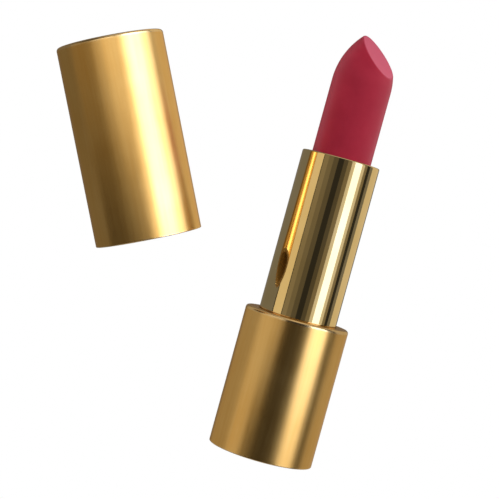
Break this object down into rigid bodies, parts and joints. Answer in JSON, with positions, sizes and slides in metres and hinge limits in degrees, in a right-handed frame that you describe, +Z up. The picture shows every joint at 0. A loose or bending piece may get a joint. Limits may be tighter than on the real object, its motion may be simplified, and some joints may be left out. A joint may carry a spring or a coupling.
{
  "type": "lipstick case",
  "caption": "Twist-up lipstick lying beside its separate cap: satin gold base and cap, polished sleeve, slant-cut red stick raised out of the sleeve.",
  "frame": {"origin": "centre of the base's foot plane, on the axis of the lipstick", "axes": "+Y along the lipstick from foot to tip, +Z up from the table it lies on, +X to the right, away from the cap"},
  "size_m": [0.0706, 0.0866, 0.0212],
  "materials": {
    "satin_gold": "anodised gold, satin",
    "polished_gold": "anodised pale gold, polished",
    "socket_plastic": "moulded, unpainted",
    "mechanism_plastic": "moulded, low friction",
    "weight_steel": "turned, plain",
    "ring_rubber": "moulded, greased",
    "label_film": "blank film",
    "lip_colour": "cast wax, satin"
  },
  "bodies": {
    "base": {"base_shell": "satin_gold", "base_liner": "socket_plastic", "base_weight": "weight_steel", "bottom_disc": "satin_gold", "shade_label": "label_film", "inner_body": "mechanism_plastic", "torque_ring": "ring_rubber"},
    "sleeve": {"sleeve_shell": "polished_gold", "spiral": "mechanism_plastic"},
    "carrier": {"cup": "mechanism_plastic", "bullet": "lip_colour"},
    "cap": {"cap_shell": "satin_gold", "cap_liner": "socket_plastic", "cap_weight": "weight_steel"}
  },
  "joints": [
    {"name": "twist", "type": "hinge", "parent": "base", "child": "sleeve", "pos_m": [0, 0, 0], "axis": [0, 1, 0], "range_deg": [0, 540]},
    {"name": "bullet_travel", "type": "slide", "parent": "base", "child": "carrier", "axis": [0, 1, 0], "range_m": [-0.026, 0]},
    {"name": "cap_swing", "type": "hinge", "parent": "base", "child": "cap", "pos_m": [0.14083, 0.00275, 0], "axis": [0, 0, -1], "range_deg": [0, 26.4]}
  ],
  "couplings": [
    {"joint": "bullet_travel", "follows": "twist", "m_per_rad": -0.0027587}
  ]
}
